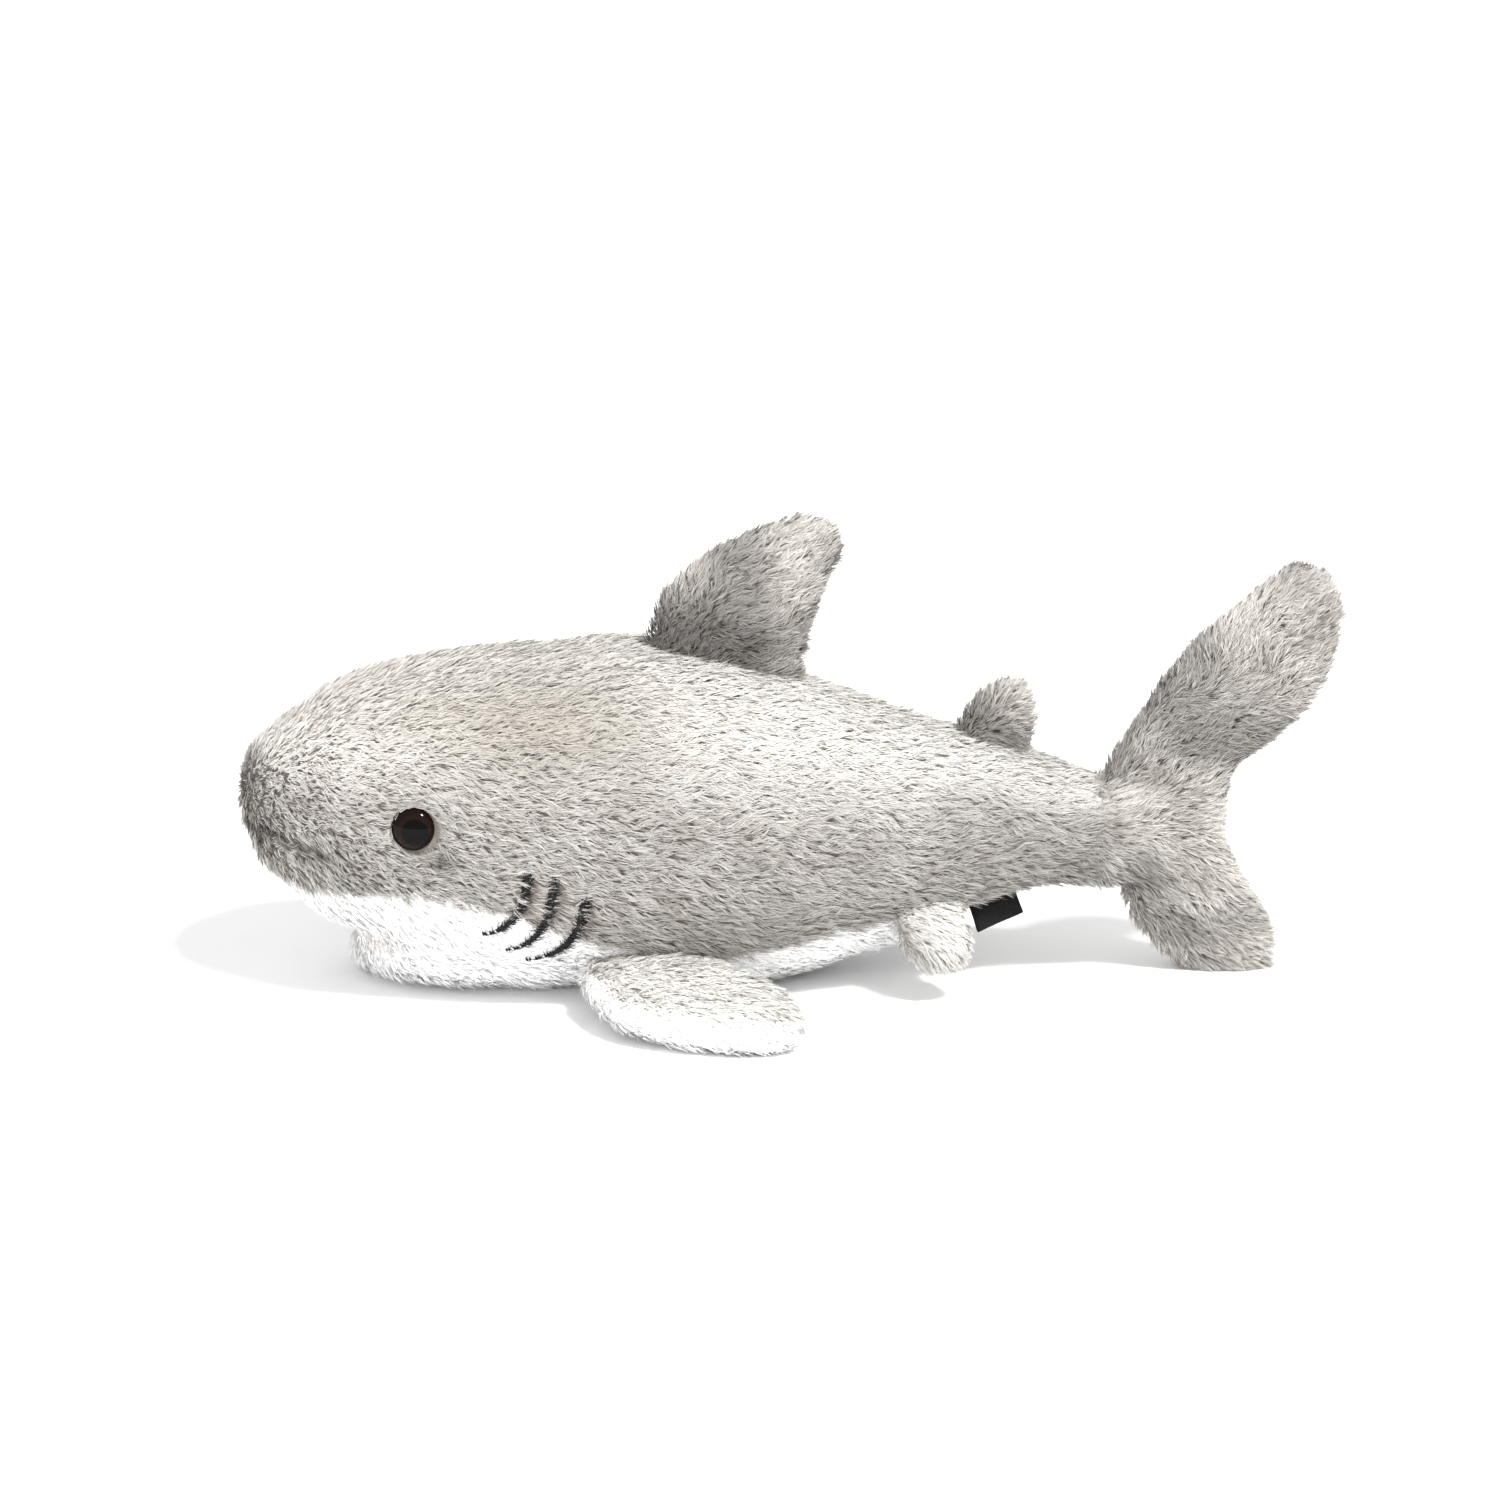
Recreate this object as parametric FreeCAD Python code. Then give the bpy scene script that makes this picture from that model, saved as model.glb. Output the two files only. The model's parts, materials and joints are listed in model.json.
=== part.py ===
import FreeCAD, Part
import math
import os
from FreeCAD import Vector

# Plush shark lying on its chest. Millimetres, +Z up, head towards -X, tail towards +X.
# The shark's left side is at -Y. The origin is on the floor, under the middle of the shark.

# ---------------------------------------------------------------- driving dimensions
FABRIC = 2.0             # backing cloth with the dense foot of the pile
FIN_FABRIC = 1.2         # the same cloth stretched over a fin
STUFFING_GAP = 0.3       # between the cloth's inside and the fill
RING_POINTS = 24         # points of each cross-section curve
LEAST_HALF_THICKNESS = 0.4   # thinner ends of a fin hold no fill
FAR = 400.0              # size of a cutting block, larger than the shark

X_AXIS = Vector(1, 0, 0)
Y_AXIS = Vector(0, 1, 0)
Z_AXIS = Vector(0, 0, 1)

# Cross-sections of the body: (x, half width, bottom, height of the widest point, top).
# Bottoms below zero are cut flat where the chest rests on the floor.
BODY_SECTIONS = [
    (-187.0, 5.0, 61.0, 66.0, 71.0),
    (-185.0, 13.0, 52.5, 66.0, 78.0),
    (-179.0, 24.5, 41.0, 66.0, 84.5),
    (-168.0, 36.0, 29.0, 64.5, 92.5),
    (-151.0, 46.0, 19.5, 61.0, 101.5),
    (-130.0, 53.0, 11.5, 58.0, 108.0),
    (-105.0, 57.5, 0.0, 56.0, 112.0),
    (-80.0, 58.5, -2.5, 55.0, 114.0),
    (-50.0, 58.0, -2.5, 55.0, 114.5),
    (-20.0, 54.5, -1.5, 55.0, 110.0),
    (8.0, 48.5, 4.5, 55.0, 101.5),
    (36.0, 40.0, 12.0, 54.0, 90.5),
    (60.0, 30.5, 23.0, 53.0, 83.0),
    (85.0, 22.0, 32.5, 52.0, 75.0),
    (116.0, 15.0, 35.0, 50.0, 66.0),
]
NOSE_X = BODY_SECTIONS[0][0]
NOSE_ROUNDING = 30.0     # length over which an inner skin draws back from the nose
BODY_FULLNESS = 2.25     # superellipse exponent, 2 is an ellipse
SLOPE_STEP = 2.0         # either way along the skin, to find its direction

# Lower jaw: a cushion under the snout, (height, half length, half width) per level.
JAW_CENTRE_X = -100.0
JAW_LEVELS = [
    (0.0, 43.0, 14.0),
    (3.0, 47.0, 26.0),
    (8.0, 49.5, 36.5),
    (15.0, 49.5, 43.0),
    (30.0, 46.0, 44.0),
]
# The mouth is a plane between jaw and snout, rising from its front to its corners.
MOUTH_FRONT = (-150.0, 14.5)
MOUTH_CORNER = (-116.0, 23.0)
LINING = 1.6
LINING_SETBACK = 2.5
LINING_LEVEL = 3         # level of the jaw whose outline the lining follows

# Seam between the grey back and the white underside, seen from the side (x, z).
WHITE_SEAM = [
    (-200.0, 42.0), (-176.0, 40.5), (-146.0, 40.3), (-119.0, 41.0), (-105.0, 38.5),
    (-92.0, 34.5), (-78.0, 29.5), (-62.0, 24.0), (-20.0, 18.5), (38.0, 27.5), (60.0, 28.5),
    (76.0, 31.0), (90.0, 30.0), (104.0, 22.0),
]
THROAT_SEAM_X = -98.0    # crosswise seam between chin and belly panels

# Safety eyes.
EYE_X, EYE_Z = -125.5, 65.3
EYE_RADIUS = 7.6
EYE_DOME = 4.6
EYE_STEM_RADIUS = 2.3
EYE_STEM = 14.0
EYE_STEM_CHAMFER = 1.0
EYE_FIT = 0.06           # gap between the stem and what it passes through
WASHER_RADIUS = 9.0
WASHER = 1.5
WASHER_DEPTH = 3.0       # from the skin's outside to the washer's face

# Gill strokes: (x at the top, z at the top, reach forward, drop).
GILLS = [
    (-87.5, 50.2, 15.5, 20.6),
    (-78.5, 49.1, 17.0, 25.5),
    (-68.5, 41.4, 20.7, 21.9),
]
GILL_HALF_WIDTHS = (1.7, 0.6)    # at the top and at the lower end
THREAD = 0.8                     # height of stitching above the cloth
STROKE_POINTS = 6

# Ladder stitches that close the stuffing opening, in the right belly seam.
CLOSING_START_X = 6.0
CLOSING_PITCH = 4.0
CLOSING_COUNT = 7
CLOSING_LENGTH = 4.5
CLOSING_WIDTH = 0.8

# Tail seam: a plane that leans back, and the tail fin's hinge line behind it.
TAIL_SEAM_X = 112.5      # where the seam crosses the middle of the tail's root
TAIL_SEAM_Z = 50.0
TAIL_SEAM_LEAN = 11.5    # degrees from upright, foot further back

# Fins: one (leading edge, trailing edge, half thickness) per section, root first.
DORSAL_FIN = [
    ((-46.0, 0, 117.3), (3.0, 0, 106.3), 1.5),
    ((-45.0, 0, 121.8), (3.2, 0, 111.3), 5.3),
    ((-42.0, 0, 129.0), (4.4, 0, 118.5), 7.4),
    ((-34.0, 0, 139.0), (7.5, 0, 129.0), 7.0),
    ((-20.0, 0, 149.0), (13.0, 0, 141.0), 6.0),
    ((-6.0, 0, 155.5), (16.0, 0, 149.5), 4.2),
    ((3.0, 0, 158.5), (13.0, 0, 155.8), 2.2),
]
REAR_DORSAL_FIN = [
    ((59.5, 0, 84.6), (81.0, 0, 77.9), 1.4),
    ((61.0, 0, 88.0), (81.5, 0, 81.5), 3.6),
    ((64.5, 0, 93.5), (82.5, 0, 87.5), 4.2),
    ((70.0, 0, 99.0), (82.5, 0, 94.5), 3.4),
    ((75.0, 0, 101.5), (80.5, 0, 99.5), 1.8),
]
TAIL_FIN = [
    ((141.0, 0, 0.0), (168.0, 0, 0.0), 4.0),
    ((131.0, 0, 10.0), (167.5, 0, 10.0), 5.6),
    ((120.5, 0, 24.0), (161.5, 0, 24.0), 7.5),
    ((117.2, 0, 38.0), (152.0, 0, 38.0), 9.2),
    ((114.0, 0, 54.0), (148.5, 0, 54.0), 9.6),
    ((112.0, 0, 69.0), (152.0, 0, 70.0), 8.6),
    ((121.0, 0, 86.0), (166.0, 0, 84.0), 8.0),
    ((134.0, 0, 106.0), (181.0, 0, 101.0), 7.4),
    ((150.5, 0, 124.0), (186.35, 0, 118.0), 6.6),
    ((165.0, 0, 136.0), (186.0, 0, 132.0), 4.6),
    ((172.5, 0, 141.5), (181.0, 0, 140.0), 2.4),
]
PECTORAL_FIN = [
    ((-67.0, -49.5, 15.0), (-24.0, -48.0, 14.5), 1.6),
    ((-68.5, -54.0, 13.4), (-21.5, -52.0, 13.0), 5.6),
    ((-67.5, -64.0, 11.2), (-9.0, -60.5, 10.8), 8.6),
    ((-61.5, -78.0, 9.0), (0.5, -71.0, 8.7), 8.5),
    ((-49.0, -91.0, 7.6), (3.5, -83.0, 7.6), 7.3),
    ((-30.0, -98.0, 6.2), (3.0, -93.0, 6.2), 5.2),
    ((-18.0, -100.5, 5.2), (-1.0, -98.0, 5.2), 2.6),
]
PELVIC_FIN = [
    ((38.0, -34.3, 26.0), (58.0, -26.5, 29.0), 1.4),
    ((38.3, -37.0, 23.0), (60.0, -30.2, 25.6), 3.4),
    ((40.5, -39.8, 18.3), (61.0, -34.3, 20.3), 4.0),
    ((44.0, -41.5, 14.3), (59.5, -38.0, 15.8), 3.4),
    ((48.5, -42.5, 12.0), (55.5, -41.3, 12.8), 1.8),
]
FIN_FULLNESS = 2.0
PECTORAL_THROUGH = Vector(0, 0, 1)       # direction of each fin's thickness
PELVIC_THROUGH = Vector(0.18, -0.81, 0.56)

# Folded label in the belly seam behind the left pelvic fin.
LABEL_ROOT = (Vector(63.0, -17.2, 26.9), Vector(78.5, -8.5, 31.4))
LABEL_DROP = 10.5
LABEL_SWING = 18.0       # degrees that it hangs outwards from straight down
LABEL_THICKNESS = 0.7


# ---------------------------------------------------------------- shared geometry
def mirrored(shape):
    """The same piece on the shark's other side."""
    return shape.mirror(Vector(0, 0, 0), Y_AXIS)


def block(low, high):
    """Box between two corners."""
    size = high - low
    return Part.makeBox(size.x, size.y, size.z, low)


def signed_power(value, power):
    return math.copysign(abs(value) ** power, value)


def ring(centre, across, up, half_width, rise, drop, fullness):
    """Closed smooth curve: a superellipse with its own height above and below the centre."""
    points = []
    for step in range(RING_POINTS):
        angle = 2 * math.pi * step / RING_POINTS
        side = half_width * signed_power(math.cos(angle), 2 / fullness)
        reach = rise if math.sin(angle) > 0 else drop
        height = reach * signed_power(math.sin(angle), 2 / fullness)
        points.append(centre + across * side + up * height)
    curve = Part.BSplineCurve()
    curve.interpolate(points, PeriodicFlag=True)
    return Part.Wire([curve.toShape()])


def side_prism(outline, smooth):
    """Prism across the whole width over a closed outline of (x, z) points.

    The first `smooth` points are one flowing line, the rest are straight runs."""
    points = [Vector(x, -FAR / 2, z) for x, z in outline]
    edges = []
    if smooth > 1:
        curve = Part.BSplineCurve()
        curve.interpolate(points[:smooth])
        edges.append(curve.toShape())
        points = points[smooth - 1:] + [points[0]]
    else:
        points = points + [points[0]]
    for start, end in zip(points, points[1:]):
        edges.append(Part.LineSegment(start, end).toShape())
    face = Part.Face(Part.Wire(edges))
    return face.extrude(Y_AXIS * FAR)


# ---------------------------------------------------------------- body
def body_loft(inset):
    """Body from nose to tail seam, its skin moved inwards by `inset`."""
    rings = []
    for x, half_width, bottom, widest, top in BODY_SECTIONS:
        nearness = max(0.0, 1 - (x - NOSE_X) / NOSE_ROUNDING)
        centre = Vector(x + inset * nearness, 0, widest)
        rings.append(ring(centre, Y_AXIS, Z_AXIS, half_width - inset,
                          top - inset - widest, widest - bottom - inset, BODY_FULLNESS))
    loft = Part.makeLoft(rings, True, False)
    loft = loft.cut(block(Vector(-FAR, -FAR, -FAR), Vector(FAR, FAR, inset)))
    return loft.cut(behind_tail_seam(inset))


def behind_tail_seam(inset):
    """Block behind the leaning plane of the tail seam, moved forwards by `inset`."""
    lump = block(Vector(0, -FAR, -FAR), Vector(FAR, FAR, FAR))
    lump.rotate(Vector(0, 0, 0), Y_AXIS, -TAIL_SEAM_LEAN)
    lump.translate(Vector(TAIL_SEAM_X - inset, 0, TAIL_SEAM_Z))
    return lump


def mouth_height(x, lift):
    """Height of the mouth plane, raised by `lift`."""
    slope = (MOUTH_CORNER[1] - MOUTH_FRONT[1]) / (MOUTH_CORNER[0] - MOUTH_FRONT[0])
    return MOUTH_FRONT[1] + slope * (x - MOUTH_FRONT[0]) + lift


def above_mouth(lift):
    """Everything above the mouth plane raised by `lift`."""
    ends = (-FAR / 2, FAR / 2)
    outline = [(ends[0], mouth_height(ends[0], lift)), (ends[1], mouth_height(ends[1], lift)),
               (ends[1], FAR), (ends[0], FAR)]
    return side_prism(outline, 0)


def jaw_cushion(inset):
    """Lower jaw under the mouth plane, its skin moved inwards by `inset`."""
    rings = []
    for height, half_length, half_width in JAW_LEVELS:
        centre = Vector(JAW_CENTRE_X, 0, height)
        rings.append(ring(centre, X_AXIS, Y_AXIS, half_length - inset,
                          half_width - inset, half_width - inset, BODY_FULLNESS))
    jaw = Part.makeLoft(rings, True, False)
    jaw = jaw.cut(block(Vector(-FAR, -FAR, -FAR), Vector(FAR, FAR, inset)))
    return jaw.cut(above_mouth(-inset))


def torso(inset):
    """Body and jaw as one closed form."""
    return body_loft(inset).fuse(jaw_cushion(inset)).removeSplitter()


def white_region():
    """Everything below the seam between back and underside."""
    outline = WHITE_SEAM + [(WHITE_SEAM[-1][0], -FAR / 4), (WHITE_SEAM[0][0], -FAR / 4)]
    return side_prism(outline, len(WHITE_SEAM))


def snout_region():
    """Ahead of the mouth's corners and above the mouth plane."""
    front_x = WHITE_SEAM[0][0]
    outline = [(front_x, mouth_height(front_x, 0)), MOUTH_CORNER,
               (MOUTH_CORNER[0], FAR / 4), (front_x, FAR / 4)]
    return side_prism(outline, 0)


def torso_panels(skin):
    """The skin cut into its sewn panels."""
    white = white_region()
    grey = skin.cut(white)
    underside = skin.common(white)
    right_half = block(Vector(-FAR, 0, -FAR), Vector(FAR, FAR, FAR))
    throat = block(Vector(THROAT_SEAM_X, -FAR, -FAR), Vector(FAR, FAR, FAR))
    front = underside.cut(throat)
    return {
        "back_panel_left": grey.cut(right_half),
        "back_panel_right": grey.common(right_half),
        "belly_panel": underside.common(throat),
        "snout_panel": front.common(snout_region()),
        "chin_panel": front.cut(snout_region()),
    }


def mouth_lining(outer):
    """Thin cloth on top of the jaw, seen in the slit of the mouth."""
    half_length, half_width = JAW_LEVELS[LINING_LEVEL][1:]
    outline = ring(Vector(JAW_CENTRE_X, 0, 0), X_AXIS, Y_AXIS, half_length - LINING_SETBACK,
                   half_width - LINING_SETBACK, half_width - LINING_SETBACK, BODY_FULLNESS)
    column = Part.Face(outline).extrude(Z_AXIS * FAR)
    sheet = column.common(above_mouth(0)).cut(above_mouth(LINING))
    sheet = sheet.cut(block(Vector(MOUTH_CORNER[0], -FAR, -FAR), Vector(FAR, FAR, FAR)))
    return sheet.cut(outer)


# ---------------------------------------------------------------- eyes and stitching
def skin_point(outer, x, z):
    """Point of the left flank's skin at a given place along and up the body."""
    ray = Part.makeLine(Vector(x, -FAR, z), Vector(x, 0, z))
    hit = outer.common(ray)
    return min((vertex.Point for vertex in hit.Vertexes), key=lambda point: point.y)


def skin_normal(outer, x, z):
    """Outward direction of the left flank's skin."""
    ahead, behind = (skin_point(outer, x + step, z) for step in (SLOPE_STEP, -SLOPE_STEP))
    above, below = (skin_point(outer, x, z + step) for step in (SLOPE_STEP, -SLOPE_STEP))
    along = ahead - behind
    upward = above - below
    normal = upward.cross(along)
    normal.normalize()
    return normal if normal.y < 0 else -normal


def turned(half_profile):
    """Solid of revolution about Z from (radius, height) points, closed on the axis."""
    points = [Vector(radius, 0, height) for radius, height in half_profile]
    outline = Part.makePolygon(points + [points[0]])
    return Part.Face(outline).revolve(Vector(0, 0, 0), Z_AXIS, 360)


def eye_button():
    """Domed eye on its stem, back face at z = 0, looking along +Z."""
    dome = Part.makeSphere(EYE_RADIUS, Vector(0, 0, 0), Z_AXIS, 0, 90, 360)
    squash = FreeCAD.Matrix()
    squash.scale(1, 1, EYE_DOME / EYE_RADIUS)
    dome = dome.transformGeometry(squash)
    stem = turned([(0, 0), (EYE_STEM_RADIUS, 0), (EYE_STEM_RADIUS, EYE_STEM_CHAMFER - EYE_STEM),
                   (EYE_STEM_RADIUS - EYE_STEM_CHAMFER, -EYE_STEM), (0, -EYE_STEM)])
    return dome.fuse(stem).removeSplitter()


def eye_washer():
    """Locking washer on the stem, behind the cloth."""
    disc = Part.makeCylinder(WASHER_RADIUS, WASHER, Vector(0, 0, -WASHER_DEPTH - WASHER))
    return disc.cut(stem_hole())


def stem_hole():
    return Part.makeCylinder(EYE_STEM_RADIUS + EYE_FIT, EYE_STEM * 2, Vector(0, 0, -EYE_STEM))


def eye_room():
    """Space that the stem and washer take up in the fill."""
    reach = EYE_STEM + STUFFING_GAP
    hollow = Part.makeCylinder(EYE_STEM_RADIUS + STUFFING_GAP, reach, Vector(0, 0, -reach))
    disc = Part.makeCylinder(WASHER_RADIUS + STUFFING_GAP, WASHER_DEPTH + WASHER + STUFFING_GAP,
                             Vector(0, 0, -WASHER_DEPTH - WASHER - STUFFING_GAP))
    return hollow.fuse(disc)


def placed_at_eye(outer, shape):
    """Move a piece made at the origin to the left eye's place."""
    normal = skin_normal(outer, EYE_X, EYE_Z)
    turn = FreeCAD.Rotation(Z_AXIS, normal)
    shape.Placement = FreeCAD.Placement(skin_point(outer, EYE_X, EYE_Z), turn)
    return shape


def gill_outline(x_top, z_top, reach, drop):
    """Tapered stroke that starts downwards and curves forwards."""
    upper_side, lower_side = [], []
    for step in range(STROKE_POINTS):
        part = step / (STROKE_POINTS - 1)
        angle = part * math.pi / 2
        centre = Vector(x_top - reach * (1 - math.cos(angle)), 0, z_top - drop * math.sin(angle))
        along = Vector(-reach * math.sin(angle), 0, -drop * math.cos(angle))
        along.normalize()
        square = Vector(along.z, 0, -along.x)
        start, end = GILL_HALF_WIDTHS
        half_width = start + (end - start) * part
        upper_side.append(centre + square * half_width)
        lower_side.append(centre - square * half_width)
    edges = []
    for side in (upper_side, lower_side):
        curve = Part.BSplineCurve()
        curve.interpolate(side)
        edges.append(curve.toShape())
    edges.append(Part.LineSegment(upper_side[0], lower_side[0]).toShape())
    edges.append(Part.LineSegment(upper_side[-1], lower_side[-1]).toShape())
    return Part.Face(Part.Wire(Part.__sortEdges__(edges)))


def gill_stitches(thread_layer, outwards):
    """Three satin-stitched strokes on the flank that faces `outwards`."""
    strokes = [gill_outline(*gill).extrude(outwards * FAR).common(thread_layer) for gill in GILLS]
    return Part.makeCompound([stroke.Solids[0] for stroke in strokes])


def seam_height(x):
    """Height of the seam between back and underside, straight between its points."""
    for (x0, z0), (x1, z1) in zip(WHITE_SEAM, WHITE_SEAM[1:]):
        if x0 <= x <= x1:
            return z0 + (z1 - z0) * (x - x0) / (x1 - x0)
    raise ValueError("no seam at this place")


def closing_stitches(thread_layer):
    """Short threads across the right belly seam."""
    stitches = []
    for index in range(CLOSING_COUNT):
        x = CLOSING_START_X + index * CLOSING_PITCH
        z = seam_height(x)
        low = Vector(x - CLOSING_WIDTH / 2, 0, z - CLOSING_LENGTH / 2)
        high = Vector(x + CLOSING_WIDTH / 2, FAR, z + CLOSING_LENGTH / 2)
        stitches.append(block(low, high).common(thread_layer).Solids[0])
    return Part.makeCompound(stitches)


# ---------------------------------------------------------------- fins
def fin_loft(sections, through, inset):
    """Stuffed fin through elliptical sections, its skin moved inwards by `inset`.

    `through` is the direction of the fin's thickness."""
    centres = [centre_of(section) for section in sections]
    rings = []
    for index, (lead, trail, half_thickness) in enumerate(sections):
        chord = Vector(*trail) - Vector(*lead)
        half_chord = chord.Length / 2 - inset
        half = half_thickness - inset
        if min(half_chord, half) < LEAST_HALF_THICKNESS:
            continue
        centre = centres[index]
        if index == 0:
            centre = centre + unit(centres[1] - centre) * inset
        if index == len(sections) - 1:
            centre = centre + unit(centres[-2] - centre) * inset
        rings.append(ring(centre, unit(chord), through, half_chord, half, half,
                          FIN_FULLNESS))
    return Part.makeLoft(rings, True, False)


def unit(vector):
    copy = Vector(vector)
    copy.normalize()
    return copy


def fin_pieces(name, sections, through, upper, lower):
    """Two cloth panels and the fill of one fin, parted at its middle surface."""
    shell = fin_loft(sections, through, 0).cut(fin_loft(sections, through, FIN_FABRIC))
    fill = fin_loft(sections, through, FIN_FABRIC + STUFFING_GAP)
    far_side = through_side(sections, through)
    return {
        name + "_" + upper: shell.common(far_side),
        name + "_" + lower: shell.cut(far_side),
        name + "_stuffing": fill,
    }


def through_side(sections, through):
    """Half of space on the `through` side of the plane that holds a fin's edges."""
    lead, trail, _ = sections[0]
    root = centre_of(sections[0])
    span = centre_of(sections[-1]) - root
    normal = unit((Vector(*trail) - Vector(*lead)).cross(span))
    if normal.dot(through) < 0:
        normal = -normal
    half = Part.makeBox(2 * FAR, 2 * FAR, FAR, Vector(-FAR, -FAR, 0))
    half.Placement = FreeCAD.Placement(root, FreeCAD.Rotation(Z_AXIS, normal))
    return half


def centre_of(section):
    """Middle between a section's leading and trailing edges."""
    lead, trail, _ = section
    return (Vector(*lead) + Vector(*trail)) * 0.5


# ---------------------------------------------------------------- label
def label():
    """Small folded label that hangs from the belly seam."""
    start, end = LABEL_ROOT
    swing = math.radians(LABEL_SWING)
    hang = Vector(0, -math.sin(swing), -math.cos(swing))
    along = unit(end - start)
    drop = unit(hang - along * hang.dot(along)) * LABEL_DROP
    corners = [start, end, end + drop, start + drop]
    face = Part.Face(Part.makePolygon(corners + [corners[0]]))
    normal = unit((end - start).cross(drop))
    return face.extrude(normal * LABEL_THICKNESS)


# ---------------------------------------------------------------- assembly
def torso_pieces():
    """Everything sewn or fixed to the body."""
    outer = torso(0)
    thread_layer = torso(-THREAD).cut(outer)
    pieces = torso_panels(outer.cut(torso(FABRIC)))
    fill = torso(FABRIC + STUFFING_GAP)
    stem = placed_at_eye(outer, stem_hole())
    room = placed_at_eye(outer, eye_room())
    eye = placed_at_eye(outer, eye_button())
    washer = placed_at_eye(outer, eye_washer())
    pieces["back_panel_left"] = pieces["back_panel_left"].cut(stem)
    pieces["back_panel_right"] = pieces["back_panel_right"].cut(mirrored(stem))
    pieces["body_stuffing"] = fill.cut(room).cut(mirrored(room))
    pieces["eye_left"] = eye
    pieces["eye_right"] = mirrored(eye)
    pieces["eye_washer_left"] = washer
    pieces["eye_washer_right"] = mirrored(washer)
    pieces["mouth_lining"] = mouth_lining(outer)
    pieces["gill_stitches_left"] = gill_stitches(thread_layer, -Y_AXIS)
    pieces["gill_stitches_right"] = gill_stitches(thread_layer, Y_AXIS)
    pieces["closing_stitches"] = closing_stitches(thread_layer)
    return pieces


def all_pieces():
    """Every piece of the shark by name."""
    pieces = torso_pieces()
    pieces.update(fin_pieces("dorsal_fin", DORSAL_FIN, Y_AXIS, "panel_right", "panel_left"))
    pieces.update(fin_pieces("rear_dorsal_fin", REAR_DORSAL_FIN, Y_AXIS, "panel_right", "panel_left"))
    pieces.update(fin_pieces("tail_fin", TAIL_FIN, Y_AXIS, "panel_right", "panel_left"))
    for name, sections, through in (("pectoral_fin", PECTORAL_FIN, PECTORAL_THROUGH),
                                    ("pelvic_fin", PELVIC_FIN, PELVIC_THROUGH)):
        left = fin_pieces(name + "_left", sections, unit(through), "top", "underside")
        pieces.update(left)
        for key, shape in left.items():
            pieces[key.replace("_left_", "_right_")] = mirrored(shape)
    pieces["label"] = label()
    return pieces


def main():
    os.makedirs("parts", exist_ok=True)
    for name, shape in all_pieces().items():
        shape.exportStep("parts/" + name + ".step")
        print(name, shape.ShapeType, len(shape.Solids), round(shape.Volume), shape.isValid())


main()
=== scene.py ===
import json
import math

import bmesh
import bpy
import numpy as np
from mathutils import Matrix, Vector
from mathutils.bvhtree import BVHTree
from mathutils.kdtree import KDTree


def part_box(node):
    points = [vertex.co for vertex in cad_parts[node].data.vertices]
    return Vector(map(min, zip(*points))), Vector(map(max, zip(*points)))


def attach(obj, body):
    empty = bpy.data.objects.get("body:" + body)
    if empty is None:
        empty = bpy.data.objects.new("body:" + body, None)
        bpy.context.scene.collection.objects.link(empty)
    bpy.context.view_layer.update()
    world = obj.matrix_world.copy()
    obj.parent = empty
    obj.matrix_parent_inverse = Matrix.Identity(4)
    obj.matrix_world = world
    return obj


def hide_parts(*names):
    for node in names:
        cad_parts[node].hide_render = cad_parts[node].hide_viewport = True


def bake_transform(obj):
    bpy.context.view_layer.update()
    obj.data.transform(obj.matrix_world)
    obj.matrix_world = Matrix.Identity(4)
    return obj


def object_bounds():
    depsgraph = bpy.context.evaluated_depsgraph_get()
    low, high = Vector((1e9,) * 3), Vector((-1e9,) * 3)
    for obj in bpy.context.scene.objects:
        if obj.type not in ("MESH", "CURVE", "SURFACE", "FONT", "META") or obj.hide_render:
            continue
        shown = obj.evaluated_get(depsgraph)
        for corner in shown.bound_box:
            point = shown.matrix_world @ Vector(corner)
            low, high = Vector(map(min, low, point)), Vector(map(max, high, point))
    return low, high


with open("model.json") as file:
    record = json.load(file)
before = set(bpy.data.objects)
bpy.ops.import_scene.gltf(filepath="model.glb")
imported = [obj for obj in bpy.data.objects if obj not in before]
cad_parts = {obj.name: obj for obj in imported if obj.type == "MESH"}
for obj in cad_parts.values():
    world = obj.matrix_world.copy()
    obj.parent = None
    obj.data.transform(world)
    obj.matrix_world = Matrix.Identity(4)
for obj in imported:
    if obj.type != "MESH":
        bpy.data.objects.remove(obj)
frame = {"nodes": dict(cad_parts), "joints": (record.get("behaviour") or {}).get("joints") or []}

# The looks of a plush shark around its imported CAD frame. Metres, +Z up, head towards -X.
# Each sewn panel is a skin with its pile grown on it as real strands, in one mesh.

CAD_BOX = [[float(value) for value in corner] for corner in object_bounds()]
LOW, HIGH = (np.array(corner) for corner in CAD_BOX)
LENGTH = HIGH[0] - LOW[0]
MM = 0.001
FLOOR_CLEARANCE = 0.25 * MM
THINNING = 1.0


def centre(node):
    """Middle of a CAD node's box."""
    low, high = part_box(node)
    return np.array((low + high) / 2)


EYE = centre("eye_left")
SKIN_THICKNESS = 1.4 * MM


# ---------------------------------------------------------------- numbers on points
def unit(vectors):
    """Rows scaled to length one."""
    return vectors / np.maximum(np.linalg.norm(vectors, axis=1, keepdims=True), 1e-12)


def column(values):
    return values[:, None]


def lattice_value(cells, seed):
    """Repeatable value from 0 to 1 for each whole-number cell."""
    mixed = cells[:, 0] * 374761393 + cells[:, 1] * 668265263 + cells[:, 2] * 2147483647
    mixed = mixed + seed * 1274126177
    mixed = (mixed ^ (mixed >> 13)) * 1103515245
    mixed = mixed ^ (mixed >> 16)
    return (mixed & 0xFFFF) / 0xFFFF


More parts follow.
